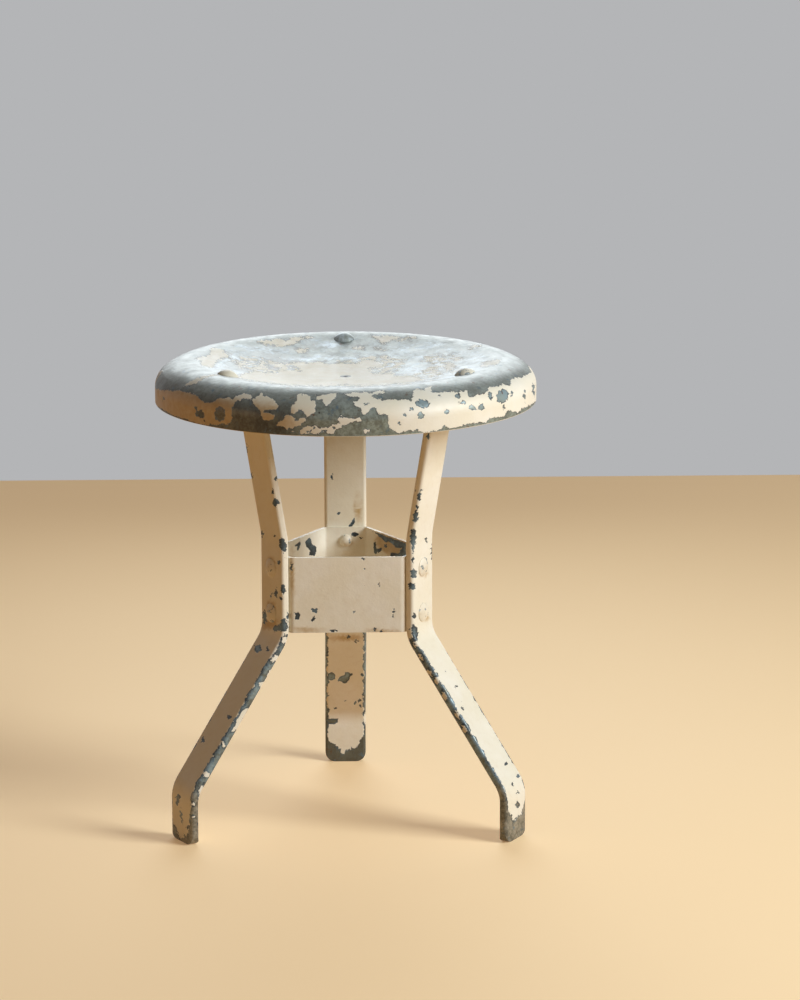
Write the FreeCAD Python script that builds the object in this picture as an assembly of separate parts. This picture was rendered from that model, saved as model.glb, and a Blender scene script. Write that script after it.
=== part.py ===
"""Three-legged steel stool: a pressed seat pan on bent flat-bar legs, braced by a riveted collar.

Millimetres and degrees. +Z is up, the floor is Z = 0 and the seat's axis is the Z axis. One leg stands
at the back, on +Y, and two at the front. A leg is drawn in the XZ plane, where X is the distance from
the seat's axis, and is then turned to its place.
"""

import FreeCAD, Part
import math
import os

from FreeCAD import Vector

# Seat pan, pressed from one sheet
seat_height = 415.3
seat_diameter = 336.0
seat_sheet = 2.0
pan_depth = 35.6
rim_width = 32.0
skirt_height = 13.6
shoulder_radius = 17.0
dish_depth = 15.4
lip_rounding = 0.7
drain_hole_diameter = 4.0

# Leg bar, with the bends measured along its centre line
bar_width = 38.0
bar_thickness = 8.0
bar_edge_radius = 3.0
bar_end_radius = 9.5
foot_radius = 166.6
foot_height = 45.3
waist_radius = 73.4
waist_bottom = 175.8
waist_top = 263.3
neck_lean = 10.2
shank_bend_radius = 28.0
neck_bend_radius = 60.0
tab_bend_radius = 12.0
tab_overhang = 9.0

# Brace collar, one strip bent round inside the legs' waists
collar_height = 67.9
collar_bottom = 180.2
collar_sheet = 2.8
collar_flat_margin = 1.0
collar_bend_radius = 3.0

# Rivets
seat_rivet_circle = 237.0
seat_rivet_head = 18.0
seat_rivet_rise = 5.0
seat_rivet_tail = 13.0
seat_rivet_tail_rise = 3.5
collar_rivet_margin = 12.0
collar_rivet_spacing = 41.0
collar_rivet_head = 17.0
collar_rivet_rise = 3.2
collar_rivet_tail = 11.0
collar_rivet_tail_rise = 4.5
shank_diameter = 8.0
shank_clearance = 0.2
head_land = 0.6

# Where each leg stands, as its direction from the seat's axis, evenly spaced round it
back_leg_angle = 90.0
leg_spacing_angle = 120.0
leg_directions = {
    "back": back_leg_angle,
    "front_left": back_leg_angle + leg_spacing_angle,
    "front_right": back_leg_angle + 2 * leg_spacing_angle,
}

# The pan's outer surface: its dish, crest and shoulder are arcs that meet without a kink
seat_radius = seat_diameter / 2
lip_height = seat_height - pan_depth
shoulder_height = lip_height + skirt_height
crest_circle_radius = seat_radius - rim_width
roll_height = pan_depth - skirt_height
crest_radius = (rim_width**2 + roll_height**2 - 2 * rim_width * shoulder_radius) / (
    2 * (roll_height - shoulder_radius)
)
dish_radius = (crest_circle_radius**2 + dish_depth**2) / (2 * dish_depth) - crest_radius
dish_centre = Vector(0, 0, seat_height - dish_depth + dish_radius)
crest_centre = Vector(crest_circle_radius, 0, seat_height - crest_radius)
shoulder_centre = Vector(seat_radius - shoulder_radius, 0, shoulder_height)

# The seat rivets stand square to the dish, on a circle round the seat's axis
seat_rivet_tilt = math.asin(seat_rivet_circle / 2 / dish_radius)
seat_rivet_outward = Vector(math.sin(seat_rivet_tilt), 0, -math.cos(seat_rivet_tilt))
tab_direction = Vector(-seat_rivet_outward.z, 0, seat_rivet_outward.x)
head_lift = dish_radius - math.sqrt(dish_radius**2 - (seat_rivet_head / 2) ** 2)
seat_rivet_foot = dish_centre + seat_rivet_outward * (dish_radius - head_lift)
seat_rivet_grip = head_lift + seat_sheet + bar_thickness

# The collar backs onto the legs' inner faces, and its rivets go through both
waist_inner = waist_radius - bar_thickness / 2
waist_outer = waist_radius + bar_thickness / 2
collar_flat = bar_width + 2 * collar_flat_margin
half_spacing = math.radians(leg_spacing_angle / 2)
collar_long_side = waist_inner * math.cos(half_spacing) + collar_flat / 2 * math.sin(half_spacing)
upper_rivet_height = collar_bottom + collar_height - collar_rivet_margin
collar_rivet_heights = {"upper": upper_rivet_height, "lower": upper_rivet_height - collar_rivet_spacing}
collar_rivet_grip = bar_thickness + collar_sheet
hole_diameter = shank_diameter + 2 * shank_clearance

up = Vector(0, 0, 1)
origin = Vector(0, 0, 0)


def around(centre, radius, angle):
    """The point on a circle in the XZ plane, at an angle from +X towards +Z."""
    turn = math.radians(angle)
    return centre + Vector(math.cos(turn), 0, math.sin(turn)) * radius


def arc(centre, radius, start, end):
    """An arc in the XZ plane between two angles."""
    points = [around(centre, radius, angle) for angle in (start, (start + end) / 2, end)]
    return Part.Arc(*points).toShape()


def direction_angle(start, end):
    """The angle of the line from one point of the XZ plane to another."""
    return math.degrees(math.atan2(end.z - start.z, end.x - start.x))


def rounded_path(points, radii, closed=False):
    """Straight runs through the points, with a tangent arc of the given radius at each turn."""
    count = len(points)
    turns = range(count) if closed else range(1, count - 1)
    arcs = {}
    for turn, radius in zip(turns, radii):
        corner = points[turn]
        back = (points[turn - 1] - corner).normalize()
        ahead = (points[(turn + 1) % count] - corner).normalize()
        half_angle = back.getAngle(ahead) / 2
        reach = radius / math.tan(half_angle)
        bisector = (back + ahead).normalize()
        middle = corner + bisector * (radius / math.sin(half_angle) - radius)
        arcs[turn] = (corner + back * reach, middle, corner + ahead * reach)
    edges = []
    for run in range(count if closed else count - 1):
        after = (run + 1) % count
        start = arcs[run][2] if run in arcs else points[run]
        end = arcs[after][0] if after in arcs else points[after]
        edges.append(Part.makeLine(start, end))
        if after in arcs:
            edges.append(Part.Arc(*arcs[after]).toShape())
    return Part.Wire(edges)


def turned(shape, direction):
    """A copy of a shape drawn in the XZ plane, turned about the seat's axis to a leg's direction."""
    copy = shape.copy()
    copy.rotate(origin, up, direction)
    return copy


def along(shape, place, axis):
    """A shape drawn on the Z axis, set at a place with its +Z along an axis."""
    shape.Placement = FreeCAD.Placement(place, FreeCAD.Rotation(up, axis)).multiply(shape.Placement)
    return shape


def sheet_arcs(depth):
    """The pan's arcs from its centre to its skirt, on a surface this deep inside the sheet."""
    inflection = direction_angle(dish_centre, crest_centre)
    junction = direction_angle(crest_centre, shoulder_centre)
    return [
        arc(dish_centre, dish_radius + depth, -90, inflection),
        arc(crest_centre, crest_radius - depth, inflection + 180, junction),
        arc(shoulder_centre, shoulder_radius - depth, junction, 0),
    ]


def seat_rivet_hole():
    """The cutter for a seat rivet's hole, through the pan and the leg's tab."""
    length = 4 * seat_rivet_grip
    start = seat_rivet_foot - seat_rivet_outward * (length / 2)
    return Part.makeCylinder(hole_diameter / 2, length, start, seat_rivet_outward)


def make_seat_pan():
    """A dished pan with a rolled rim and a skirt, revolved from its section."""
    outside = sheet_arcs(0)
    inside = sheet_arcs(seat_sheet)
    lip_outer = Vector(seat_radius, 0, lip_height)
    lip_inner = Vector(seat_radius - seat_sheet, 0, lip_height)
    edges = outside + inside + [
        Part.makeLine(outside[-1].Vertexes[-1].Point, lip_outer),
        Part.makeLine(lip_outer, lip_inner),
        Part.makeLine(lip_inner, inside[-1].Vertexes[-1].Point),
        Part.makeLine(outside[0].Vertexes[0].Point, inside[0].Vertexes[0].Point),
    ]
    section = Part.Face(Part.Wire(Part.__sortEdges__(edges)))
    pan = section.revolve(origin, up, 360)
    lip = [edge for edge in pan.Edges if edge.BoundBox.ZMax < lip_height + lip_rounding]
    pan = pan.makeFillet(lip_rounding, lip)
    drain = Part.makeCylinder(drain_hole_diameter / 2, seat_height, origin, up)
    holes = [turned(seat_rivet_hole(), direction) for direction in leg_directions.values()]
    return pan.cut([drain] + holes)


def bar_section(place):
    """The bar's rounded cross-section, square to Z, with its width along Y."""
    half_thickness = bar_thickness / 2
    half_width = bar_width / 2
    corners = [(-1, -1), (1, -1), (1, 1), (-1, 1)]
    points = [place + Vector(side * half_thickness, end * half_width, 0) for side, end in corners]
    return rounded_path(points, [bar_edge_radius] * len(points), closed=True)


def end_corner_cutters(place, inward):
    """Cutters that round both corners of a bar's end, given the end's middle and the way into the bar."""
    cutters = []
    for side in (-1, 1):
        block = Part.makeBox(bar_width, bar_end_radius * 2, bar_end_radius * 2)
        round_part = Part.makeCylinder(bar_end_radius, bar_width, origin, Vector(1, 0, 0))
        cutter = block.cut(round_part)
        cutter.translate(Vector(-bar_width / 2, 0, 0))
        cutter.rotate(origin, Vector(1, 0, 0), 180 if side < 0 else -90)
        cutter.translate(Vector(0, side * (bar_width / 2 - bar_end_radius), bar_end_radius))
        cutters.append(along(cutter, place, inward))
    return cutters


def make_leg():
    """A flat bar bent into tab, neck, waist, shank and foot, drawn from the floor up."""
    lean = math.radians(neck_lean)
    neck_start = Vector(waist_radius, 0, waist_top)
    neck_direction = Vector(math.sin(lean), 0, math.cos(lean))
    tab_middle = dish_centre + seat_rivet_outward * (dish_radius + seat_sheet + bar_thickness / 2)
    neck_length = (tab_middle - neck_start).dot(seat_rivet_outward) / neck_direction.dot(seat_rivet_outward)
    tab_end = tab_middle + tab_direction * tab_overhang
    foot_end = Vector(foot_radius, 0, 0)
    points = [
        foot_end,
        Vector(foot_radius, 0, foot_height),
        Vector(waist_radius, 0, waist_bottom),
        neck_start,
        neck_start + neck_direction * neck_length,
        tab_end,
    ]
    bends = [shank_bend_radius, shank_bend_radius, neck_bend_radius, tab_bend_radius]
    path = rounded_path(points, bends)
    bar = path.makePipeShell([bar_section(foot_end)], True, False)
    cutters = end_corner_cutters(foot_end, up) + end_corner_cutters(tab_end, -tab_direction)
    cutters.append(seat_rivet_hole())
    return bar.cut(cutters + collar_rivet_holes())


def collar_rivet_holes():
    """The cutters for a leg's two collar rivets, through the bar and the collar."""
    reach = 2 * collar_rivet_grip
    outward = Vector(1, 0, 0)
    return [
        Part.makeCylinder(hole_diameter / 2, 2 * reach, Vector(waist_inner - reach, 0, height), outward)
        for height in collar_rivet_heights.values()
    ]


def collar_outline(depth):
    """The collar's six-sided outline, this deep inside its outer face, with rounded bends."""
    leg_side = waist_inner - depth
    long_side = collar_long_side - depth
    sides = []
    for direction in sorted(leg_directions.values()):
        sides += [(direction, leg_side), (direction + leg_spacing_angle / 2, long_side)]
    points = []
    for (first, first_distance), (second, second_distance) in zip(sides, sides[1:] + sides[:1]):
        a, b = math.radians(first), math.radians(second)
        x = first_distance * math.sin(b) - second_distance * math.sin(a)
        y = second_distance * math.cos(a) - first_distance * math.cos(b)
        points.append(Vector(x, y, 0) / math.sin(b - a) + Vector(0, 0, collar_bottom))
    radius = collar_bend_radius + collar_sheet - depth
    return rounded_path(points, [radius] * len(points), closed=True)


def make_brace_collar():
    """A strip bent into a ring: three short sides against the legs and three long sides between them."""
    section = Part.Face(collar_outline(0)).cut(Part.Face(collar_outline(collar_sheet)))
    ring = section.extrude(up * collar_height)
    holes = [
        turned(hole, direction) for direction in leg_directions.values() for hole in collar_rivet_holes()
    ]
    return ring.cut(holes)


def dome_radius(diameter, rise):
    """The radius of the sphere that a dome of this width and rise is cut from."""
    return ((diameter / 2) ** 2 + rise**2) / (2 * rise)


def make_rivet(head, rise, grip, tail, tail_rise):
    """A rivet on the Z axis: a domed head above Z = 0, its shank, and a domed tail below the grip."""
    dome = dome_radius(head, rise - head_land)
    dome_centre = Vector(0, 0, rise - dome)
    tail_dome = dome_radius(tail, tail_rise - head_land)
    tail_centre = Vector(0, 0, -grip - tail_rise + tail_dome)
    head_arc = arc(dome_centre, dome, 90, direction_angle(dome_centre, Vector(head / 2, 0, head_land)))
    tail_edge = Vector(tail / 2, 0, -grip - head_land)
    tail_arc = arc(tail_centre, tail_dome, direction_angle(tail_centre, tail_edge), -90)
    outline = [
        Vector(head / 2, 0, head_land),
        Vector(head / 2, 0, 0),
        Vector(shank_diameter / 2, 0, 0),
        Vector(shank_diameter / 2, 0, -grip),
        Vector(tail / 2, 0, -grip),
        tail_edge,
    ]
    edges = [head_arc] + Part.makePolygon(outline).Edges + [tail_arc]
    edges.append(Part.makeLine(Vector(0, 0, -grip - tail_rise), Vector(0, 0, rise)))
    section = Part.Face(Part.Wire(edges))
    return section.revolve(origin, up, 360)


def make_seat_rivet():
    """A rivet square to the dish, with its head's rim on the dish and its tail under the tab."""
    rivet = make_rivet(
        seat_rivet_head, seat_rivet_rise, seat_rivet_grip, seat_rivet_tail, seat_rivet_tail_rise
    )
    return along(rivet, seat_rivet_foot, -seat_rivet_outward)


def make_collar_rivet(height):
    """A rivet with its head on the leg's outer face and its tail inside the collar."""
    rivet = make_rivet(
        collar_rivet_head, collar_rivet_rise, collar_rivet_grip, collar_rivet_tail, collar_rivet_tail_rise
    )
    return along(rivet, Vector(waist_outer, 0, height), Vector(1, 0, 0))


nodes = {"seat_pan": make_seat_pan(), "brace_collar": make_brace_collar()}
for place, direction in leg_directions.items():
    nodes[f"leg_{place}"] = turned(make_leg(), direction)
    nodes[f"seat_rivet_{place}"] = turned(make_seat_rivet(), direction)
    for level, height in collar_rivet_heights.items():
        nodes[f"collar_rivet_{place}_{level}"] = turned(make_collar_rivet(height), direction)

os.makedirs("parts", exist_ok=True)
for name, shape in nodes.items():
    shape.exportStep(f"parts/{name}.step")
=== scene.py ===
"""Looks of the worn steel stool: cream paint that flakes off slate primer and grey steel.

The scene is in metres. The finishes read places in millimetres, in the part's own frame.
"""

import math

import bmesh
import bpy
import numpy as np
from mathutils import Matrix, Vector


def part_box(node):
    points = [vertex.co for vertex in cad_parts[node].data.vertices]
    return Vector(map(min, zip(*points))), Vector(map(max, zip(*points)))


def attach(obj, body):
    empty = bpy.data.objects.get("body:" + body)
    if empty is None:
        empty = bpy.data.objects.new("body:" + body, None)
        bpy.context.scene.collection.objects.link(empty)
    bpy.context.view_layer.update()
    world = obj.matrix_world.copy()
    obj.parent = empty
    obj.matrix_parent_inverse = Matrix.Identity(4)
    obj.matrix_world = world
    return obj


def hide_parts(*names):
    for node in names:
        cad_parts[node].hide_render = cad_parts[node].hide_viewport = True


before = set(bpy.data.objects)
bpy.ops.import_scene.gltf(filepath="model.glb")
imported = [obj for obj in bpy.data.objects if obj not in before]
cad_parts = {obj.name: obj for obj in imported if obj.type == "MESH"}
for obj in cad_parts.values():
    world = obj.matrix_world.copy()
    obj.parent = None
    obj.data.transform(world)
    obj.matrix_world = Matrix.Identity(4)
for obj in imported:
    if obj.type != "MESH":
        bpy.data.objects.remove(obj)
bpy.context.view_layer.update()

# The photograph's frame and the camera that fits the stool in it, in pixels, metres and radians
image_width = 800
image_height = 1000
focal_length = 4000
lens_axis_column = 347
camera_side = -0.0378
camera_back = -3.4656
camera_height = 1.0549
camera_turn = -0.0111
camera_pitch = 0.2177
camera_roll = -0.0051
sensor_size = 36.0

# Sizes read from the frame, in millimetres
millimetres = 1000.0
seat_low, seat_high = (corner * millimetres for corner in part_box("seat_pan"))
lip_height = seat_low.z
crest_height = seat_high.z
leg_low, leg_high = (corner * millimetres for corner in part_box("leg_back"))
half_bar = (leg_high.x - leg_low.x) / 2

# The size of a pixel at the stool, in millimetres
pixel_size = -camera_back * millimetres / focal_length

# Where the seat's wear changes, and where its paler top, its painted shade at the left and the painted
# shade round its drain lie, in millimetres
dish_radius = 126.0
dish_blend = 4.0
bare_rim = 10.0
bare_lip = 2.2
# Above these heights the top is paler, partly from painted light, partly from polish
top_low = crest_height - 16.0
top_high = crest_height - 3.0
# Painted shade: between these places the seat goes brown towards the left
left_shade_start = -25.0
left_shade_end = -60.0
back_start = -25.0
# Painted shade: the radius of a dark disc round the drain hole
drain_shade_radius = 5.0

# Heights at which the legs' wear changes, in millimetres
bend_low = 150.0
bend_high = 200.0
foot_bend_low = 40.0
foot_bend_high = 60.0
foot_corner_rise = 18.0

leg_directions = {"back": 90.0, "front_left": 210.0, "front_right": 330.0}


def tone(red, green, blue):
    """A colour picked as it looks on screen, out of 255, as the linear colour that the shaders take."""
    shares = [channel / 255 for channel in (red, green, blue)]
    linear = [
        share / 12.92 if share <= 0.04045 else ((share + 0.055) / 1.055) ** 2.4
        for share in shares
    ]
    return (*linear, 1.0)


# Colours
cream = tone(240, 233, 211)
# Tan of dirt and stains on the paint, also of the painted shade on the seat's left and by the collar
cream_darkened = tone(200, 172, 124)
cream_pale = tone(245, 240, 224)
slate = tone(54, 64, 70)
slate_blue = tone(94, 113, 123)
# Painted shade: the brown of the seat's bare steel and chips at the left
steel_left_shade = tone(64, 60, 48)
steel_dark = tone(100, 103, 93)
steel_green = tone(148, 158, 149)
steel_blue = tone(138, 158, 164)
steel_pale = tone(118, 123, 116)
steel_worn = tone(146, 153, 147)
# Pale steel of the rivets, also the painted sheen in the seat's dish
steel_bright = tone(200, 212, 219)
olive = tone(88, 86, 74)
olive_pale = tone(160, 155, 140)
rust = tone(104, 68, 44)
# Soot in small specks, also the painted shade round the drain hole
soot_and_shade = tone(40, 36, 32)

# Enlarged crops in which the seat's flakes were read: first column, first row, enlargement
left_crop = (148, 325, 7.762)
right_crop = (340, 325, 7.649)
seat_crop = (140, 320, 3.824)


def from_crop(crop, *places):
    """Places read in an enlarged crop, as pixels of the photograph."""
    column, row, enlargement = crop
    return tuple((column + x / enlargement, row + y / enlargement) for x, y in places)


# Outlines of the cream paint that is left on the seat
seat_flakes = {
    "skirt_left": from_crop(
        left_crop,
        (10, 470), (60, 492), (110, 505), (250, 510), (360, 535), (405, 575), (440, 605), (500, 600),
        (535, 572), (600, 562), (655, 575), (690, 545), (740, 528), (800, 548), (815, 570), (740, 575),
        (690, 590), (655, 640), (652, 720), (640, 765), (545, 772), (470, 775), (400, 770), (330, 742),
        (250, 720), (180, 692), (120, 662), (70, 630), (10, 590),
    ),
    "left_of_middle": from_crop(
        left_crop,
        (812, 570), (860, 550), (880, 520), (900, 550), (940, 560), (985, 590), (1005, 625),
        (990, 655), (960, 662), (900, 655), (885, 688), (940, 685), (985, 700), (975, 735), (930, 745),
        (900, 735), (878, 712), (880, 665), (840, 640), (810, 600),
    ),
    "cluster": from_crop(
        left_crop,
        (1165, 535), (1230, 540), (1255, 560), (1260, 590), (1300, 590), (1300, 660), (1290, 685),
        (1240, 710), (1215, 695), (1195, 660), (1160, 660), (1135, 690), (1110, 685), (1115, 640),
        (1140, 600), (1160, 575),
    ),
    "cluster_right": from_crop(
        left_crop,
        (1305, 545), (1360, 545), (1400, 530), (1460, 530), (1455, 560), (1425, 585), (1405, 610),
        (1390, 630), (1365, 610), (1350, 580), (1305, 575),
    ),
    "cluster_foot": from_crop(
        left_crop,
        (1000, 775), (1040, 740), (1070, 705), (1110, 700), (1140, 720), (1140, 745), (1170, 745),
        (1190, 715), (1225, 720), (1215, 760), (1165, 785), (1110, 800), (1070, 810), (1050, 790),
    ),
    "low_mottle": from_crop(
        left_crop,
        (1120, 820), (1170, 830), (1190, 800), (1230, 790), (1300, 780), (1340, 800), (1390, 800),
        (1420, 780), (1480, 765), (1510, 785), (1470, 810), (1420, 850), (1390, 830), (1350, 830),
        (1310, 845), (1250, 840), (1190, 845), (1140, 840),
    ),
    "middle_strip": from_crop(
        left_crop,
        (1470, 735), (1490, 705), (1530, 715),
    ) + from_crop(
        right_crop,
        (0, 705), (40, 710), (100, 715), (150, 710), (160, 730), (130, 740), (80, 745), (40, 770),
        (0, 745),
    ),
    "skirt_right": from_crop(
        right_crop,
        (0, 520), (60, 545), (120, 550), (150, 560), (130, 580), (105, 590), (105, 615), (150, 630),
        (165, 670), (160, 695), (185, 690), (220, 660), (260, 630), (295, 632), (275, 655), (290, 680),
        (330, 685), (365, 690), (370, 740), (385, 790), (410, 810), (450, 830), (480, 815), (530, 805),
        (560, 815), (590, 800), (640, 825), (700, 812), (760, 800), (800, 770), (830, 790), (870, 785),
        (940, 770), (1000, 755), (1060, 740), (1120, 745), (1140, 712), (1200, 705), (1250, 705),
        (1280, 665), (1310, 655), (1370, 672), (1385, 640), (1440, 620), (1490, 590), (1540, 560),
        (1545, 380), (1480, 355), (1450, 370), (1410, 385), (1390, 405), (1350, 400), (1305, 415),
        (1300, 465), (1240, 455), (1200, 470), (1135, 475), (1130, 505), (1080, 525), (1000, 550),
        (985, 540), (965, 495), (950, 510), (860, 512), (780, 515), (715, 520), (695, 505), (700, 470),
        (660, 475), (645, 495), (560, 490), (560, 530), (545, 580), (500, 570), (430, 575), (400, 560),
        (340, 575), (290, 570), (240, 545), (260, 530), (330, 525), (345, 508), (300, 505), (250, 520),
        (190, 515), (100, 515), (60, 530),
    ),
    "wedge_spot": from_crop(
        right_crop,
        (178, 805), (200, 798), (225, 806), (215, 822), (190, 825),
    ),
    "back_left": from_crop(
        left_crop,
        (850, 130), (900, 118), (950, 125), (1000, 105), (1080, 110), (1150, 95), (1215, 90),
        (1280, 85), (1240, 105), (1190, 120), (1120, 150), (1060, 160), (1000, 165), (960, 150),
        (910, 155), (890, 138),
    ),
    "left": from_crop(
        left_crop,
        (480, 175), (530, 180), (570, 185), (590, 210), (640, 240), (600, 255), (550, 270), (520, 300),
        (490, 330), (450, 320), (410, 310), (415, 285), (365, 265), (400, 245), (450, 240), (490, 215),
    ),
    "small_left": from_crop(
        left_crop,
        (1135, 185), (1180, 180), (1240, 185), (1230, 210), (1170, 218),
    ),
    "crescent": from_crop(
        left_crop,
        (560, 378), (640, 380), (700, 395), (760, 375), (830, 350), (900, 360), (1000, 375),
        (1020, 345), (1100, 350), (1200, 365), (1150, 330), (1100, 310), (1090, 295), (1200, 290),
        (1320, 285), (1400, 300), (1430, 310),
    ) + from_crop(
        right_crop,
        (0, 290), (100, 295), (200, 270), (260, 260), (330, 300), (290, 330), (200, 345), (250, 370),
        (400, 360), (430, 385), (520, 380), (600, 400), (640, 420), (760, 402), (700, 420), (600, 435),
        (500, 450), (350, 460), (200, 468),
    ) + from_crop(
        left_crop,
        (1568, 470), (1300, 475), (1100, 470), (950, 455), (850, 440), (760, 425), (680, 405),
        (600, 392),
    ),
    "tongue": from_crop(
        left_crop,
        (280, 475), (320, 440), (380, 410), (440, 395), (510, 385), (560, 378), (560, 388), (480, 400),
        (420, 425), (370, 455), (320, 470),
    ),
    "right": from_crop(
        right_crop,
        (1070, 305), (1120, 285), (1200, 262), (1230, 270), (1200, 300), (1130, 315), (1080, 318),
    ),
    "back_right": from_crop(
        right_crop,
        (245, 80), (330, 78), (390, 85), (480, 95), (590, 88), (580, 108), (480, 115), (400, 120),
        (360, 140), (320, 145), (280, 115),
    ),
    "small_middle": from_crop(
        right_crop,
        (95, 178), (140, 165), (180, 170), (185, 188), (120, 192),
    ),
    "thin_middle": from_crop(
        right_crop,
        (270, 188), (320, 180), (372, 190), (330, 197),
    ),
    "far_right": from_crop(
        right_crop,
        (980, 172), (1030, 152), (1085, 158), (1050, 172), (1000, 182),
    ),
}

# Places where the seat's paint hangs on in small broken flakes
seat_broken_flakes = {
    "flaky_right": from_crop(
        right_crop,
        (620, 260), (700, 240), (800, 230), (870, 230), (950, 260), (860, 290), (900, 320), (850, 345),
        (950, 350), (800, 360), (720, 390), (640, 400), (560, 400), (640, 350), (740, 320), (700, 290),
        (640, 280),
    ),
    "flaky_left": from_crop(
        seat_crop,
        (330, 150), (430, 145), (540, 160), (620, 185), (600, 205), (480, 200), (390, 185),
    ),
    "flaky_middle": from_crop(
        seat_crop,
        (690, 170), (820, 150), (950, 140), (1020, 155), (980, 190), (900, 212), (760, 210),
    ),
}

# Chips through the paint: column, row, width and height in pixels, and lean in degrees
seat_chips = {
    "heart": (220, 414, 11, 14, 0),
    "left_round": (200, 414, 9, 8, 20),
    "left_above": (196.3, 407.5, 3, 3, 0),
    "left_below": (204.3, 421, 3, 4, 0),
    "far_left": (163.5, 398.4, 2, 4, 0),
    "long": (422.6, 403.8, 14, 8.5, 15),
    "great_right": (502.5, 396, 12, 14.5, 30),
    "great_right_neighbour": (490.3, 395.6, 4, 8.5, -15),
    "pair_right": (481.2, 407, 6, 6.5, 0),
    "pair_left": (472.7, 407.6, 7, 5, 15),
    "flat": (462.5, 402.5, 8, 3, -5),
    "by_notch": (457.7, 396, 6, 5, 0),
    "hook": (446.6, 412, 4, 5, 20),
    "square": (420.7, 415.5, 6.5, 6, 0),
    "small_middle": (411.3, 408.7, 4.5, 4, 0),
    "small_low": (404.3, 415, 4, 3, 0),
    "upper_small": (439.4, 395.2, 2.5, 4, 30),
    "inner_small": (366.5, 404, 4, 2.5, 0),
    "edge_speck": (512, 393.6, 2.5, 4.5, 0),
    "edge_slit": (524.3, 395.6, 2, 10, 0),
    "edge_slit_right": (533.5, 389.7, 2.5, 11, 0),
    "low_speck": (504, 407.4, 2.5, 4, 0),
    "bottom_speck": (399, 423.7, 3.5, 3, -30),
    "mottle_left": (297.5, 428.5, 6, 4, -20),
    "mottle_low": (309, 431.5, 5, 3, 0),
    "mottle_high": (314, 427.5, 4, 3, 0),
    "mottle_middle": (324, 430.5, 6, 3, 10),
    "mottle_right": (333.5, 428, 4, 3, 0),
}
leg_chips = {
    "front_left": {
        "top": (275.8, 478.2, 3, 5, 0),
        "neck_corner": (272.9, 491.6, 2.5, 5, 0),
        "neck": (276, 502.3, 6.5, 8.5, 0),
        "waist_top": (282.8, 545.2, 7, 14, -15),
        "corner": (279, 562.6, 3, 5, 0),
        "waist_low": (283.2, 589.4, 5, 8.5, 0),
        "waist_speck": (281.2, 598.7, 2.5, 4, 0),
        "bend_speck": (287.9, 616, 2, 5, 0),
        "bend": (283.8, 625.5, 8, 13, 0),
        "bend_face": (277, 628, 9, 6, -20),
        "scratch": (276, 592.7, 3, 10, 0),
        "scratch_small": (271.4, 594.7, 2, 4, 0),
        "far_edge_top": (247, 450, 2, 8, 0),
        "far_edge": (251.7, 475.5, 2, 5, 0),
        "far_edge_waist": (262.3, 534.5, 2, 6, 0),
        "far_edge_bend": (264.6, 617.5, 4, 14, 0),
        "face_speck": (274.7, 536.5, 2, 2, 0),
        "shank_face": (258, 648.4, 8, 7, 0),
        "shank_speck": (267.6, 649.4, 3, 4, 0),
        "shank_middle": (229.3, 717, 4, 4, 0),
        "shank_low": (203, 740, 3, 6, 0),
        "foot_hook": (178, 799, 4, 10, 10),
        "foot_slit": (181, 815, 2, 14, -10),
        "foot_hole": (188, 827.5, 4, 4, 0),
    },
    "front_right": {
        "top": (428, 436, 4, 5, 0),
        "neck_top": (421.4, 490.3, 2.5, 3, 0),
        "neck": (418.8, 497, 4, 9, 10),
        "neck_speck": (417, 507, 2, 5, 10),
        "neck_low": (415.7, 516.5, 5, 12, 5),
        "waist_top": (413.1, 537.2, 6, 19, 0),
        "waist_speck": (413, 551.3, 2.5, 5, 0),
        "waist_speck_low": (412.7, 559.4, 2.5, 5, 0),
        "waist_middle": (413.4, 574, 6, 9, 0),
        "waist_low": (412, 586.2, 7, 7, 0),
        "bend_speck": (414.5, 615.7, 4, 5, 0),
        "bend": (414.7, 632.4, 6, 17, -10),
        "far_edge": (432.3, 551.3, 2.5, 13, 0),
        "face_speck": (426.4, 539.7, 2, 4, 0),
        "shank_dot": (445.8, 671, 2, 2, 0),
        "shank_dash": (456.3, 686.3, 3.5, 2, 0),
        "shank_slit": (462, 708, 4.5, 2.5, 30),
        "low_dot": (506, 763.6, 2.5, 3, 0),
        "low_dash": (518, 776, 3, 2, 40),
        "foot_dot": (512.5, 784, 2, 3, 0),
        "foot_slit": (517.5, 792, 2, 4, 0),
        "foot_bite": (517.5, 804.5, 4, 6, 0),
    },
    "back": {
        "neck": (332, 477, 3, 5, 0),
        "above_collar": ((347.5, 527.5), (351, 522.5), (354.5, 517.5), (355, 522.5), (352, 526.5)),
        "upper_speck": (339, 513.3, 2.5, 3, 0),
        "under_collar": (348, 636.5, 4, 3, 0),
        "under_collar_right": (356, 641, 4, 2.5, 0),
        "edge_bite": ((327.5, 674), (332.5, 672), (335.5, 674.5), (335, 679), (331, 680.5), (328, 679)),
        "great": (
            (337.5, 678), (343.5, 675.5), (345.5, 672.5), (349, 672.5), (350.5, 673.5), (352.5, 672.5),
            (352.5, 674.5), (349.5, 677), (348.5, 681), (345, 683.5), (341, 682), (338, 681),
        ),
        "right_speck": (362, 675, 3, 3, 0),
        "middle_speck": (355, 703, 3, 3, 0),
        "pair_upper": (359.5, 700.5, 3, 3, 0),
        "pair_lower": (360, 705.4, 3, 3, 0),
        "left_dash": (335.5, 708, 4, 2, 0),
        "flat": (344.7, 701, 3, 1.5, 0),
        "low_left": ((327, 719), (334, 718.5), (338.5, 719), (337.5, 722), (334, 724.5), (327, 724)),
    },
}

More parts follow.
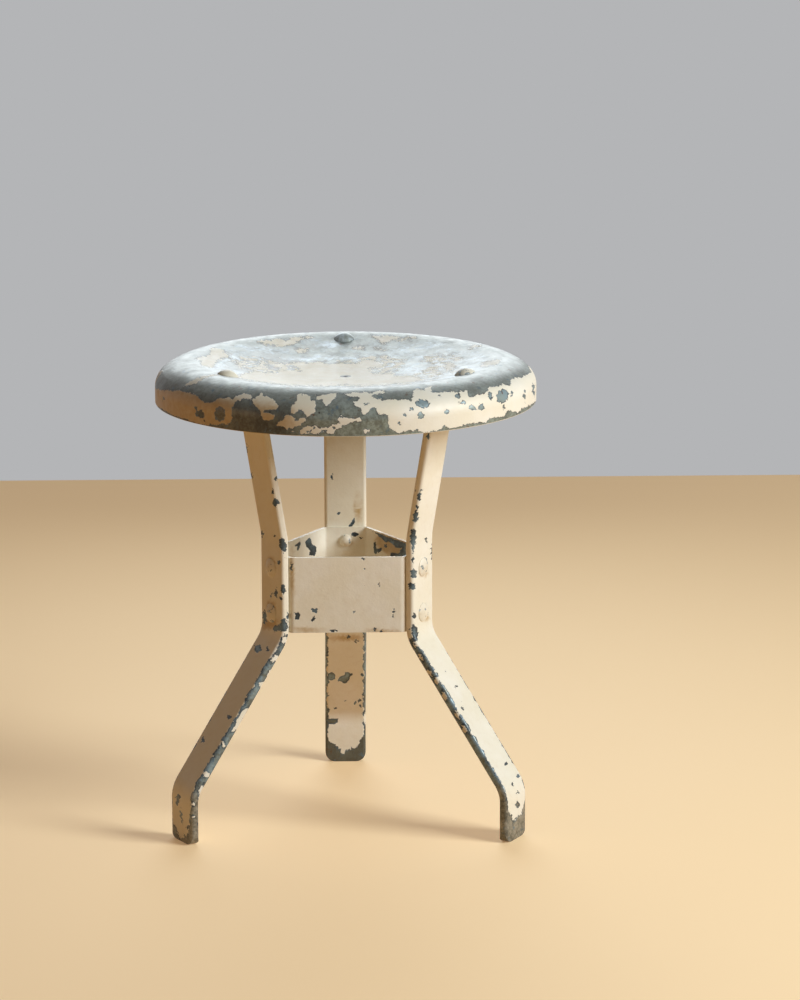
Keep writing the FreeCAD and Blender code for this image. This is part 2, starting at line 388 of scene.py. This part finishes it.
# Paint left on the worn edges of the front legs
leg_flakes = {
    "front_left": {
        "bend": (284.5, 640, 6, 5, -40),
        "upper": (275, 659, 9, 5, -45),
        "second": (270, 673.5, 3, 8, 25),
        "third": (261.5, 684.5, 5, 6, 30),
        "great": (
            (230.5, 732.5), (235, 725.5), (236.5, 720), (240.5, 714), (243, 709.5), (248.5, 707.5),
            (245.5, 715), (241.5, 721.5), (239, 728), (233.5, 731.5),
        ),
        "low": (223.5, 744, 3, 6, -20),
        "lower": (206.3, 774.5, 6, 6, -45),
        "foot_bend": (201.3, 790, 4, 9, 25),
        "foot": (192.8, 804, 3, 3, 0),
        "foot_low": (193.3, 817, 2, 2, 0),
    },
    "front_right": {
        "bend": (420.6, 657, 4, 8, -30),
        "second": (429.3, 673, 4, 7, -30),
        "third": (437, 680.5, 5, 7, 20),
        "fourth": (444.4, 696, 4, 9, -20),
        "fifth": (457, 715, 3, 8, -30),
        "sixth": (464.3, 728.6, 4, 8, -20),
        "foot": (514.4, 820, 2, 3, 0),
    },
    "back": {
        "edge": (365, 719, 3, 12, 0),
    },
}

# Brown stains in the paint, and on the back leg a painted shade band just under the collar
leg_stains_and_shade = {
    "front_left": {
        "upper_rivet": (271, 564, 9, 13, 0),
        "lower_rivet": (271, 608, 9, 13, 0),
        "bend": (270, 624, 16, 9, -20),
    },
    "front_right": {
        "upper_rivet": (424, 574, 8, 7, 0),
        "lower_rivet": (425, 618, 7, 5, 0),
    },
    "back": {
        "neck": (358, 508, 7, 22, 0),
        # Painted shade: a dark band on the back leg just under the collar
        "under_collar": (346, 638, 30, 5, 0),
    },
}
# Brown stains on the collar, and painted shade at its left end
collar_stains_and_shade = {
    "inside_right": (392, 543, 34, 24, 15),
    "inside_rivet": (349.5, 542.5, 6, 6, 0),
    # Painted shade: a dark band at the collar's left end, where it bends against the leg
    "left_end": (292, 575, 4, 36, 0),
    # low_left and low_right darken the collar's bottom edge
    "low_left": (302, 630, 26, 4, 0),
    "low_right": (385, 631, 30, 3, 0),
}
collar_chips = {
    "low_left": (
        (293.5, 612), (296.5, 613), (298, 611.5), (300.8, 615.5), (298.5, 619.5), (294.5, 619.5),
        (295.5, 616),
    ),
    "low_left_flat": (314.8, 610.6, 6, 4.5, 0),
    "low_left_tall": (313.6, 618.7, 3, 6, 20),
    "right_speck": (379.6, 585, 2, 3.5, 0),
    "middle_speck": (354, 611.4, 2, 2, 0),
    "bottom_middle": (333.7, 630.4, 7, 3, 0),
    "bottom_right": (374.8, 629.6, 3, 4, 0),
    "bottom_far_right": (380.8, 631.5, 3, 2, 0),
    "scratch": (393.4, 612, 2, 8, 10),
    "top_edge": (363, 558.6, 3, 2, 0),
    "left_end": (291.5, 567, 2, 8, 0),
    "inside_left": (
        (294.5, 546), (299.8, 541), (301, 542.5), (298.7, 550.5), (297, 550), (297.5, 546.5),
    ),
    "inside_left_great": (
        (305, 542), (309.5, 537.5), (311, 539.5), (312, 544.5), (316, 546.5), (317, 551), (314.5, 556),
        (309.5, 555), (310, 551), (306.5, 546.5),
    ),
    "inside_back": ((351, 533.5), (355, 531), (359, 534), (355.5, 537), (352, 535.5)),
    "inside_back_speck": (361.3, 538.5, 2.5, 2.5, 0),
    "inside_right": (
        (372, 531), (380, 534), (392, 538.5), (405.5, 543), (406, 556), (390, 556), (390.5, 552.5),
        (398.5, 553.5), (402, 548), (395, 547.5), (391.5, 542), (385, 542), (378, 535),
    ),
    "inside_right_slit": (
        (373.5, 542), (376, 541.5), (376.5, 549), (378.5, 549.5), (375.5, 555), (374, 550),
    ),
    "inside_right_fleck": ((377, 549), (382.5, 547.5), (381.5, 550.5), (378.5, 553)),
    "inside_right_spot": (386, 545.5, 2.5, 3.5, 20),
}

# The depth that stands for well outside any mark, in millimetres, and how far ellipses wobble, in pixels
far_outside = 30.0
wobble = 0.6

# A mesh edge's greatest length: in millimetres anywhere, and as a multiple of its distance to a mark
coarsest_edge = 15.0
edge_share = 1.2

# How soon a surface counts as hidden or as facing down once it turns that way, and its least facing share
hidden_rate = 4.0
under_rate = 3.0
least_facing = 0.05


def make_camera():
    """The camera at the photograph's place."""
    data = bpy.data.cameras.new("camera")
    data.sensor_width = sensor_size
    data.lens = sensor_size * focal_length / image_height
    data.shift_x = (image_width / 2 - lens_axis_column) / image_height
    camera = bpy.data.objects.new("camera", data)
    bpy.context.scene.collection.objects.link(camera)
    turn = Matrix.Rotation(camera_turn, 4, "Z")
    pitch = Matrix.Rotation(math.pi / 2 - camera_pitch, 4, "X")
    roll = Matrix.Rotation(camera_roll, 4, "Z")
    place = Matrix.Translation((camera_side, camera_back, camera_height))
    camera.matrix_world = place @ turn @ pitch @ roll
    bpy.context.scene.camera = camera
    return camera


camera = make_camera()


def as_pixels(places):
    """The columns and rows at which the photograph shows places given in metres."""
    to_lens = np.array(camera.matrix_world.inverted())
    local = places @ to_lens[:3, :3].T + to_lens[:3, 3]
    columns = lens_axis_column - focal_length * local[:, 0] / local[:, 2]
    rows = image_height / 2 + focal_length * local[:, 1] / local[:, 2]
    return np.column_stack([columns, rows])


def uneven(pixels):
    """Pixels moved aside a little by crossing waves, so that round marks come out ragged."""
    columns, rows = pixels.T
    aside = np.sin(1.1 * rows + 2.0 * np.sin(0.6 * columns)) + 0.7 * np.sin(2.3 * rows + 1.7 * columns)
    down = np.sin(1.2 * columns + 2.0 * np.sin(0.7 * rows)) + 0.7 * np.sin(1.9 * columns - 2.1 * rows)
    return pixels + wobble * np.column_stack([aside, down])


def depth_in_ellipse(pixels, column, row, width, height, lean):
    """How deep pixels lie in a ragged ellipse; below zero outside it."""
    turn = math.radians(lean)
    offsets = uneven(pixels) - (column, row)
    along = offsets @ (math.cos(turn), math.sin(turn)) / (width / 2)
    across = offsets @ (-math.sin(turn), math.cos(turn)) / (height / 2)
    return (1 - np.hypot(along, across)) * min(width, height) / 2


def depth_in_outline(pixels, corners):
    """How deep pixels lie in a closed outline; below zero outside it."""
    distance = np.full(len(pixels), np.inf)
    inside = np.zeros(len(pixels), dtype=bool)
    starts = np.array(corners)
    ends = np.roll(starts, -1, axis=0)
    for start, end in zip(starts, ends):
        side = end - start
        offsets = pixels - start
        share = np.clip(offsets @ side / (side @ side), 0, 1)
        distance = np.minimum(distance, np.hypot(*(offsets - share[:, None] * side).T))
        if start[1] != end[1]:
            spans = (start[1] > pixels[:, 1]) != (end[1] > pixels[:, 1])
            crossing = start[0] + side[0] * (pixels[:, 1] - start[1]) / side[1]
            inside ^= spans & (pixels[:, 0] < crossing)
    return np.where(inside, distance, -distance)


def depth_in_marks(pixels, marks):
    """How deep pixels lie in the deepest of some outlines or ellipses, in millimetres on the stool."""
    deepest = np.full(len(pixels), -far_outside)
    for mark in marks.values():
        if isinstance(mark[0], tuple):
            depth = depth_in_outline(pixels, mark)
        else:
            depth = depth_in_ellipse(pixels, *mark)
        deepest = np.maximum(deepest, depth * pixel_size)
    return deepest


def mark_depths(shape, groups):
    """For each vertex, how squarely it faces the camera, how deep it lies in each group of marks, and,
    from zero to one, whether the photograph hides it and whether it faces down."""
    places = np.array([vertex.co for vertex in shape.verts])
    normals = np.array([vertex.normal for vertex in shape.verts])
    to_camera = np.array(camera.matrix_world.translation) - places
    to_camera /= np.linalg.norm(to_camera, axis=1)[:, None]
    facing = np.einsum("ij,ij->i", normals, to_camera)
    pixels = as_pixels(places)
    depths = {}
    for group, marks in groups.items():
        depths[group] = np.where(facing < 0, -far_outside, depth_in_marks(pixels, marks))
    sides = {
        "hidden": np.clip(-hidden_rate * facing, 0, 1),
        "under": np.clip(-under_rate * normals[:, 2], 0, 1),
    }
    return facing, depths, sides


def cut_finer(shape, groups, rounds, finest_edge):
    """Cuts a shape's long edges, and shorter ones near its marks, in a few rounds."""
    for _ in range(rounds):
        shape.verts.index_update()
        facing, depths, _ = mark_depths(shape, groups)
        nearest = np.min([np.abs(depth) for group, depth in depths.items() if group != "stains_and_shade"], axis=0)
        squareness = np.sqrt(np.clip(facing, least_facing, 1.0))
        allowed = np.maximum(nearest * edge_share, finest_edge) / squareness
        allowed = np.minimum(allowed, coarsest_edge) / millimetres
        edges = []
        for edge in shape.edges:
            first, second = edge.verts
            if edge.calc_length() > min(allowed[first.index], allowed[second.index]):
                edges.append(edge)
        bmesh.ops.subdivide_edges(shape, edges=edges, cuts=1)
        bmesh.ops.triangulate(shape, faces=[face for face in shape.faces if len(face.verts) > 3])


def marked_copy(node, groups, material, rounds, finest_edge):
    """A copy of a CAD piece that holds, at each vertex, its depth in each group of marks."""
    cad_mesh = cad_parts[node].data
    shape = bmesh.new()
    shape.from_mesh(cad_mesh)
    bent = shape.loops.layers.float_vector.new("smooth_normal")
    shape.faces.ensure_lookup_table()
    for face, polygon in zip(shape.faces, cad_mesh.polygons):
        for loop, index in zip(face.loops, polygon.loop_indices):
            loop[bent] = cad_mesh.corner_normals[index].vector
    cut_finer(shape, groups, rounds, finest_edge)
    _, depths, sides = mark_depths(shape, groups)
    mesh = bpy.data.meshes.new(f"{node}_worn")
    shape.to_mesh(mesh)
    shape.free()
    normals = [corner.vector.normalized() for corner in mesh.attributes["smooth_normal"].data]
    mesh.normals_split_custom_set(normals)
    for name, values in (depths | sides).items():
        mesh.attributes.new(name, "FLOAT", "POINT").data.foreach_set("value", values.astype(np.float32))
    mesh.materials.clear()
    mesh.materials.append(material)
    piece = bpy.data.objects.new(f"{node}_worn", mesh)
    bpy.context.scene.collection.objects.link(piece)
    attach(piece, "root")
    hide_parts(node)


class Finish:
    """A material or world made of nodes. Each method adds nodes and gives the socket of their result."""

    def __init__(self, owner):
        owner.use_nodes = True
        self.owner = owner
        self.nodes = owner.node_tree.nodes
        self.links = owner.node_tree.links
        self.nodes.clear()

    def add(self, kind, inputs, output=0, **settings):
        """A node of this kind; each input is a socket to link or a value to set."""
        node = self.nodes.new(kind)
        for key, value in settings.items():
            setattr(node, key, value)
        for key, value in inputs.items():
            if isinstance(value, bpy.types.NodeSocket):
                self.links.new(value, node.inputs[key])
            else:
                node.inputs[key].default_value = value
        return node.outputs[output]

    def math(self, operation, *values):
        return self.add("ShaderNodeMath", dict(enumerate(values)), operation=operation)

    def lowest(self, first, *others):
        """The least of some numbers."""
        for other in others:
            first = self.math("MINIMUM", first, other)
        return first

    def highest(self, first, *others):
        """The greatest of some numbers."""
        for other in others:
            first = self.math("MAXIMUM", first, other)
        return first

    def opposite(self, value):
        return self.math("MULTIPLY", value, -1.0)

    def place(self):
        """Where a point lies in the part's frame, in millimetres."""
        here = self.add("ShaderNodeTexCoord", {}, output="Object")
        return self.add("ShaderNodeVectorMath", {0: here, "Scale": millimetres}, operation="SCALE")

    def turned(self, place, degrees):
        """A place seen from a leg's direction: outward along X, across the bar along Y."""
        rotation = (0.0, 0.0, math.radians(degrees))
        return self.add("ShaderNodeMapping", {"Vector": place, "Rotation": rotation}, vector_type="TEXTURE")

    def distance(self, x, y):
        """How far a point lies from the upright axis."""
        flat = self.add("ShaderNodeCombineXYZ", {"X": x, "Y": y})
        return self.add("ShaderNodeVectorMath", {0: flat}, output="Value", operation="LENGTH")

    def parts(self, vector):
        """A vector's X, Y and Z."""
        split = self.add("ShaderNodeSeparateXYZ", {"Vector": vector}).node
        return split.outputs[0], split.outputs[1], split.outputs[2]

    def held(self, name):
        """A number that the mesh holds at its points, such as the depth in a group of marks."""
        return self.add("ShaderNodeAttribute", {}, output="Fac", attribute_name=name)

    def noise(self, place, size, height, detail=3.0, roughness=0.55):
        """Cloudy noise about zero, with clouds of about this size and height in millimetres."""
        inputs = {"Vector": place, "Scale": 1 / size, "Detail": detail, "Roughness": roughness}
        cloud = self.add("ShaderNodeTexNoise", inputs, noise_dimensions="3D")
        return self.math("MULTIPLY_ADD", cloud, 2 * height, -height)

    def specks(self, place, spacing, share, size):
        """How deep a place lies in scattered specks, in millimetres; a share of the cells hold one."""
        inputs = {"Vector": place, "Scale": 1 / spacing, "Randomness": 1.0}
        cell = self.add("ShaderNodeTexVoronoi", inputs, voronoi_dimensions="3D").node
        chance = self.add("ShaderNodeSeparateColor", {"Color": cell.outputs["Color"]})
        radius = self.span(chance, 1 - share, 1.0, -size, size, smooth=False)
        return self.math("MULTIPLY_ADD", cell.outputs["Distance"], -spacing, radius)

    def span(self, value, low, high, to_low=0.0, to_high=1.0, smooth=True):
        """A value between low and high, as its share of the way from to_low to to_high."""
        inputs = {"Value": value, "From Min": low, "From Max": high, "To Min": to_low, "To Max": to_high}
        kind = "SMOOTHSTEP" if smooth else "LINEAR"
        return self.add("ShaderNodeMapRange", inputs, interpolation_type=kind)

    def mix(self, share, first, second):
        """A colour that goes from the first to the second."""
        return self.add("ShaderNodeMix", {0: share, 6: first, 7: second}, output=2, data_type="RGBA")

    def shade(self, colour, roughness, height, bump_strength, metallic=0.0):
        """The surface: its colour, how rough it is and, in millimetres, how high it stands."""
        bump_inputs = {"Height": height, "Distance": 1 / millimetres, "Strength": bump_strength}
        bump = self.add("ShaderNodeBump", bump_inputs)
        inputs = {"Base Color": colour, "Roughness": roughness, "Metallic": metallic, "Normal": bump}
        return self.show(self.add("ShaderNodeBsdfPrincipled", inputs))

    def show(self, surface, output="ShaderNodeOutputMaterial"):
        """Makes this surface the one that is seen."""
        end = self.nodes.new(output)
        self.links.new(surface, end.inputs["Surface"])
        return self.owner


def new_finish(name):
    return Finish(bpy.data.materials.new(name))


def seen_by_camera(finish):
    """One for the rays that show the stage, straight or in gloss, and zero for those that only light."""
    rays = finish.add("ShaderNodeLightPath", {}).node.outputs
    return finish.highest(rays["Is Camera Ray"], rays["Is Glossy Ray"], rays["Is Transmission Ray"])


def cream_paint(finish, place, darkening):
    """Old cream paint: its colour, going tan, then rust brown, where the darkening is near one or more; the
    darkening is dirt and stains, and in some places painted shade.
    """
    cloud = finish.noise(place, size=45.0, height=0.5)
    fine = finish.noise(place, size=6.0, height=0.35, detail=4.0, roughness=0.65)
    pale = finish.mix(finish.span(cloud, -0.15, 0.2), cream, cream_pale)
    darkened = finish.math("ADD", fine, darkening)
    tinted = finish.mix(finish.span(darkened, 0.1, 1.0), pale, cream_darkened)
    tinted = finish.mix(finish.span(darkened, 0.8, 2.0), tinted, rust)
    flecks = finish.specks(place, spacing=5.0, share=0.16, size=0.45)
    return finish.mix(finish.span(flecks, -0.1, 0.3, 0.0, 0.7), tinted, rust)


def bare_steel(finish, place, paint_depth, dark, pale, primer_reach):
    """Steel without its cream paint: slate primer this far from the paint's edge, steel beyond it."""
    cloud = finish.noise(place, size=14.0, height=0.5, detail=4.0, roughness=0.6)
    fine = finish.noise(place, size=3.0, height=0.5, detail=4.0, roughness=0.7)
    steel = finish.mix(finish.span(finish.math("ADD", cloud, fine), -0.25, 0.25), dark, pale)
    stain = finish.noise(place, size=8.0, height=0.5, detail=4.0, roughness=0.7)
    steel = finish.mix(finish.span(stain, 0.08, 0.2), steel, slate_blue)
    steel = finish.mix(finish.span(stain, -0.13, -0.22), steel, rust)
    primer = finish.mix(finish.span(cloud, -0.05, 0.12), slate, slate_blue)
    away = finish.math("MULTIPLY_ADD", fine, 2.5 * primer_reach, paint_depth)
    primed = finish.mix(finish.span(away, -1.6 * primer_reach, -0.4 * primer_reach), steel, primer)
    spots = finish.specks(place, spacing=6.0, share=0.25, size=1.2)
    return finish.mix(finish.span(spots, 0.0, 0.6), primed, soot_and_shade)


def stains_and_shade(finish):
    """Darkening that is near one inside the drawn stains and painted shade and fades out around them."""
    return finish.span(finish.held("stains_and_shade"), -3.0, 3.0, 0.15, 0.95)


def chip_edges(finish, place):
    """Noise that makes the edges of chips uneven."""
    return finish.noise(place, size=3.5, height=1.9, detail=5.0, roughness=0.65)


def hidden_chips(finish, place):
    """How deep a place lies in chips scattered over the sides that the photograph doesn't show."""
    edges = finish.noise(place, size=5.0, height=5.0, detail=5.0, roughness=0.7)
    spots = finish.specks(place, spacing=15.0, share=0.6, size=6.0)
    elsewhere = finish.math("SUBTRACT", finish.math("ADD", spots, edges), far_outside)
    return finish.math("MULTIPLY_ADD", finish.held("hidden"), far_outside, elsewhere)


def worn_surface(finish, place, paint_depth, bare, darkening, paint_thickness=0.35):
    """Cream paint where paint_depth, in millimetres, is above zero, and bare steel elsewhere."""
    cover = finish.span(paint_depth, -0.15, 0.2)
    colour = finish.mix(cover, bare, cream_paint(finish, place, darkening))
    grain = finish.noise(place, size=1.6, height=0.07, detail=2.0)
    brushed = finish.noise(place, size=9.0, height=0.16, detail=2.0)
    roughness = finish.math("ADD", brushed, finish.span(cover, 0.0, 1.0, 0.36, 0.46, smooth=False))
    height = finish.math("MULTIPLY_ADD", cover, paint_thickness, finish.math("ADD", grain, brushed))
    metallic = finish.span(cover, 0.0, 1.0, 0.3, 0.0, smooth=False)
    return finish.shade(colour, roughness, height, bump_strength=0.7, metallic=metallic)


def seat_flake_depth(finish, place, in_dish, ragged):
    """How deep a place lies in the drawn flakes, whole or broken, and how far it is from a crack."""
    flakes = finish.held("flakes")
    broken_flakes = finish.held("broken_flakes")
    dish_edges = finish.noise(place, size=13.0, height=4.5, detail=4.0, roughness=0.65)
    whole = finish.math("MULTIPLY_ADD", in_dish, dish_edges, finish.math("ADD", flakes, ragged))
    crumbs = finish.noise(place, size=8.0, height=9.0, detail=4.0, roughness=0.65)
    broken = finish.math("ADD", finish.lowest(broken_flakes, 0.0), crumbs)
    lines = finish.math("ABSOLUTE", finish.noise(place, size=20.0, height=12.0, detail=4.0))
    lines = finish.math("MULTIPLY_ADD", finish.highest(flakes, broken_flakes), 0.35, lines)
    out_of_dish = finish.math("ADD", lines, far_outside - 0.5)
    cracks = finish.math("MULTIPLY_ADD", in_dish, -far_outside, out_of_dish)
    return finish.highest(whole, broken), cracks


def seat_back_depth(finish, place, radius, y, z, ragged):
    """How deep a place lies in the paint on the back of the skirt, which the photograph doesn't show."""
    top_edge = finish.noise(place, size=16.0, height=7.0)
    patches = finish.noise(place, size=34.0, height=30.0, detail=4.0, roughness=0.65)
    return finish.lowest(
        finish.math("ADD", finish.math("SUBTRACT", crest_height - bare_rim, z), top_edge),
        finish.math("ADD", finish.math("SUBTRACT", z, lip_height + bare_lip), ragged),
        finish.math("ADD", patches, 3.0),
        finish.span(y, back_start, 0.0, -far_outside, far_outside, smooth=False),
        finish.math("SUBTRACT", radius, dish_radius),
    )


def seat_steel(finish, place, radius, left_shade, top_light_and_polish, in_dish, chips, paint_depth):
    """The seat's bare steel: painted shade turns it brown at the left, it is paler on top, partly from
    painted light and partly from polish, a painted sheen brightens the dish, a painted shadow darkens it by
    its flakes, and painted shade darkens it round the drain.
    """
    cloud = finish.noise(place, size=18.0, height=0.5, detail=5.0, roughness=0.7)
    # Painted sheen: bright streaks in the dish stand in for the reflection of the light behind
    dish_sheen = finish.math("MULTIPLY", in_dish, finish.span(cloud, -0.1, 0.15))
    # Painted shade turns the steel brown at the left; the top is paler, partly from painted light, partly
    # from polish
    dark = finish.mix(top_light_and_polish, finish.mix(left_shade, steel_dark, steel_left_shade), steel_pale)
    # Chips at the left take the painted shade's brown
    in_chips = finish.mix(left_shade, steel_blue, steel_left_shade)
    dark = finish.mix(finish.span(chips, -1.0, 0.5), dark, in_chips)
    pale = finish.mix(top_light_and_polish, finish.mix(left_shade, steel_green, steel_dark), steel_worn)
    pale = finish.mix(dish_sheen, pale, steel_bright)
    bare = bare_steel(finish, place, paint_depth, dark, pale, primer_reach=0.5)
    flake_shadow = finish.math("MULTIPLY", in_dish, finish.span(paint_depth, -1.8, -0.4, 0.0, 0.7))
    bare = finish.mix(flake_shadow, bare, olive)
    # Painted shade: a dark disc round the drain hole
    return finish.mix(finish.span(radius, drain_shade_radius + 0.5, drain_shade_radius - 1.5), bare, soot_and_shade)


def seat_finish():
    """The seat: a bare rim, flakes left in the dish and a skirt with great bare patches."""
    finish = new_finish("seat_worn_paint")
    place = finish.place()
    x, y, z = finish.parts(place)
    radius = finish.distance(x, y)
    in_dish = finish.span(radius, dish_radius + dish_blend, dish_radius - dish_blend)
    # Painted light and shade: the steel is paler on top, partly from polish too, and browner at the left
    top_light_and_polish = finish.span(z, top_low, top_high)
    left_shade = finish.span(x, left_shade_start, left_shade_end)
    ragged = finish.noise(place, size=4.0, height=3.6, detail=5.0, roughness=0.7)
    flakes, cracks = seat_flake_depth(finish, place, in_dish, ragged)
    under = finish.math("MULTIPLY_ADD", finish.held("under"), 2 * far_outside, -far_outside)
    paint_depth = finish.highest(flakes, seat_back_depth(finish, place, radius, y, z, ragged), under)
    chips = finish.math("ADD", finish.held("chips"), chip_edges(finish, place))
    chips = finish.highest(chips, hidden_chips(finish, place))
    paint_depth = finish.lowest(paint_depth, cracks, finish.opposite(chips))
    bare = seat_steel(finish, place, radius, left_shade, top_light_and_polish, in_dish, chips, paint_depth)
    # No paint in the painted shade disc round the drain hole
    paint_depth = finish.lowest(paint_depth, finish.math("SUBTRACT", radius, drain_shade_radius))
    # Painted shade: the left of the skirt, below the top, goes tan and brown; the dish has a little dirt
    skirt_left_shade = finish.math("MULTIPLY", left_shade, finish.span(top_light_and_polish, 0.0, 1.0, 0.75, 0.0, smooth=False))
    darkening = finish.span(in_dish, 0.0, 1.0, skirt_left_shade, 0.3, smooth=False)
    return worn_surface(finish, place, paint_depth, bare, darkening)


def leg_finish(name, direction, foot_height, foot_dark, foot_pale):
    """A leg: cream paint chipped along the bar's edges and worn off the foot up to about this height."""
    finish = new_finish(f"leg_{name}_worn_paint")
    place = finish.place()
    _, across, z = finish.parts(finish.turned(place, direction))
    edge = finish.math("SUBTRACT", half_bar, finish.math("ABSOLUTE", across))
    worn_low = finish.span(z, bend_low, bend_high, -2.4, 2.4)
    ragged = finish.noise(place, size=9.0, height=6.5, detail=5.0, roughness=0.7)
    edge_paint = finish.math("ADD", finish.math("ADD", edge, worn_low), ragged)
    corner = finish.math("POWER", finish.math("DIVIDE", across, half_bar), 2.0)
    above_foot = finish.math("SUBTRACT", z, foot_height)
    foot = finish.math("MULTIPLY_ADD", corner, -foot_corner_rise, above_foot)
    foot = finish.math("MULTIPLY_ADD", ragged, 1.8, foot)
    specks = finish.specks(place, spacing=12.0, share=0.3, size=1.1)
    uneven_edges = chip_edges(finish, place)
    chips = finish.math("ADD", finish.held("chips"), uneven_edges)
    chips = finish.highest(chips, hidden_chips(finish, place))
    flakes = finish.math("ADD", finish.held("flakes"), uneven_edges)
    paint_depth = finish.lowest(edge_paint, foot, finish.opposite(specks), finish.opposite(chips))
    paint_depth = finish.highest(paint_depth, flakes)
    on_shank = finish.span(z, bend_high, bend_low)
    on_foot = finish.span(z, foot_bend_high, foot_bend_low)
    dark = finish.mix(on_foot, finish.mix(on_shank, slate, steel_dark), foot_dark)
    pale = finish.mix(on_foot, finish.mix(on_shank, slate_blue, steel_blue), foot_pale)
    bare = bare_steel(finish, place, paint_depth, dark, pale, primer_reach=1.0)
    return worn_surface(finish, place, paint_depth, bare, stains_and_shade(finish))


def collar_finish():
    """The collar: smoother cream paint with a few chips."""
    finish = new_finish("collar_worn_paint")
    place = finish.place()
    scattered = finish.specks(place, spacing=16.0, share=0.2, size=2.2)
    chips = finish.math("ADD", finish.held("chips"), chip_edges(finish, place))
    paint_depth = finish.opposite(finish.highest(scattered, chips, hidden_chips(finish, place)))
    bare = bare_steel(finish, place, paint_depth, slate, slate_blue, primer_reach=2.0)
    return worn_surface(finish, place, paint_depth, bare, stains_and_shade(finish))


def rivet_finish(name, darkening, share):
    """A rivet painted over with the piece that it holds; a share of the paint has come off."""
    finish = new_finish(name)
    place = finish.place()
    worn = finish.math("ADD", finish.noise(place, size=5.0, height=1.0), share - 0.5)
    paint_depth = finish.math("MULTIPLY", worn, -8.0)
    bare = bare_steel(finish, place, paint_depth, steel_worn, steel_bright, primer_reach=0.3)
    return worn_surface(finish, place, paint_depth, bare, darkening)


def dress(node, material):
    """Gives a CAD piece its finish."""
    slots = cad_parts[node].data.materials
    slots.clear()
    slots.append(material)


# How high the paint is worn off each foot, in millimetres, and the dark and pale steel that shows there
foot_heights = {"back": 10.0, "front_left": 4.0, "front_right": 18.0}
foot_tones = {
    "back": (olive, steel_dark),
    "front_left": (olive, olive_pale),
    "front_right": (olive, olive_pale),
}

# The share of its paint that each seat rivet has lost
rivet_wear = {"back": 0.85, "front_left": 0.15, "front_right": 0.4}

seat_marks = {"flakes": seat_flakes, "broken_flakes": seat_broken_flakes, "chips": seat_chips}
marked_copy("seat_pan", seat_marks, seat_finish(), rounds=3, finest_edge=1.5)
collar_marks = {"chips": collar_chips, "stains_and_shade": collar_stains_and_shade}
marked_copy("brace_collar", collar_marks, collar_finish(), rounds=7, finest_edge=1.0)
collar_rivet = rivet_finish("collar_rivet_worn_paint", darkening=0.3, share=0.25)
for leg, direction in leg_directions.items():
    leg_paint = leg_finish(leg, direction, foot_heights[leg], *foot_tones[leg])
    leg_marks = {"chips": leg_chips[leg], "flakes": leg_flakes[leg], "stains_and_shade": leg_stains_and_shade[leg]}
    marked_copy(f"leg_{leg}", leg_marks, leg_paint, rounds=7, finest_edge=1.0)
    seat_rivet = rivet_finish(f"seat_rivet_{leg}_worn_paint", darkening=0.2, share=rivet_wear[leg])
    dress(f"seat_rivet_{leg}", seat_rivet)
    for level in ("upper", "lower"):
        dress(f"collar_rivet_{leg}_{level}", collar_rivet)


# Stage: a pale floor that ends where the photograph's wall begins, in metres
floor_colour = tone(248, 223, 178)
floor_bounce = tone(214, 164, 100)
floor_glow = tone(132, 106, 78)
wall_colour = tone(180, 181, 183)
room_colour = tone(248, 236, 220)
room_strength = 0.06
floor_half_width = 4.0
floor_front = -5.0
floor_back = 1.43


def make_floor():
    """The floor: pale where the camera or a reflection sees it, and warmer in the light it throws back."""
    sides = (-floor_half_width, floor_half_width)
    corners = [(side, depth, 0.0) for depth in (floor_front, floor_back) for side in sides]
    mesh = bpy.data.meshes.new("floor")
    mesh.from_pydata(corners, [], [(0, 1, 3, 2)])
    floor = bpy.data.objects.new("floor", mesh)
    bpy.context.scene.collection.objects.link(floor)
    finish = new_finish("floor")
    cloud = finish.noise(finish.place(), size=900.0, height=0.1, detail=2.0)
    seen = seen_by_camera(finish)
    inputs = {
        "Base Color": finish.mix(seen, floor_bounce, floor_colour),
        "Roughness": finish.math("ADD", cloud, 0.7),
        "Emission Color": floor_glow,
        "Emission Strength": seen,
    }
    mesh.materials.append(finish.show(finish.add("ShaderNodeBsdfPrincipled", inputs)))


def make_light(name, place, aim, size, spread, power, colour):
    """A soft square lamp at a place, turned towards a point; it spreads over this angle in degrees."""
    data = bpy.data.lights.new(name, "AREA")
    data.size = size
    data.spread = math.radians(spread)
    data.energy = power
    data.color = colour
    lamp = bpy.data.objects.new(name, data)
    lamp.location = place
    lamp.rotation_euler = (Vector(aim) - Vector(place)).to_track_quat("-Z", "Y").to_euler()
    bpy.context.scene.collection.objects.link(lamp)


def make_lights():
    """A large soft light from the right, a cool one over the back and a warm one low on the left."""
    middle = (0.0, 0.0, 0.25)
    make_light(
        "key", place=(2.35, -1.15, 1.5), aim=middle, size=1.2, spread=180.0,
        power=77.0, colour=(0.96, 1.0, 1.03),
    )
    make_light(
        "back", place=(0.0, 1.3, 0.9), aim=(0.0, 0.0, 0.4), size=1.0, spread=100.0,
        power=2.8, colour=(0.9, 0.96, 1.0),
    )
    make_light(
        "left", place=(-2.4, -0.9, 0.3), aim=middle, size=1.6, spread=180.0,
        power=8.0, colour=(1.0, 0.5, 0.15),
    )


def make_room():
    """A dim room, which the camera and gloss see as a plain grey wall."""
    finish = Finish(bpy.data.worlds.new("room"))
    dim = finish.add("ShaderNodeBackground", {"Color": room_colour, "Strength": room_strength})
    wall = finish.add("ShaderNodeBackground", {"Color": wall_colour, "Strength": 1.0})
    shown = finish.add("ShaderNodeMixShader", {0: seen_by_camera(finish), 1: dim, 2: wall})
    bpy.context.scene.world = finish.show(shown, "ShaderNodeOutputWorld")


make_floor()
make_lights()
make_room()
bpy.context.scene.view_settings.view_transform = "Standard"
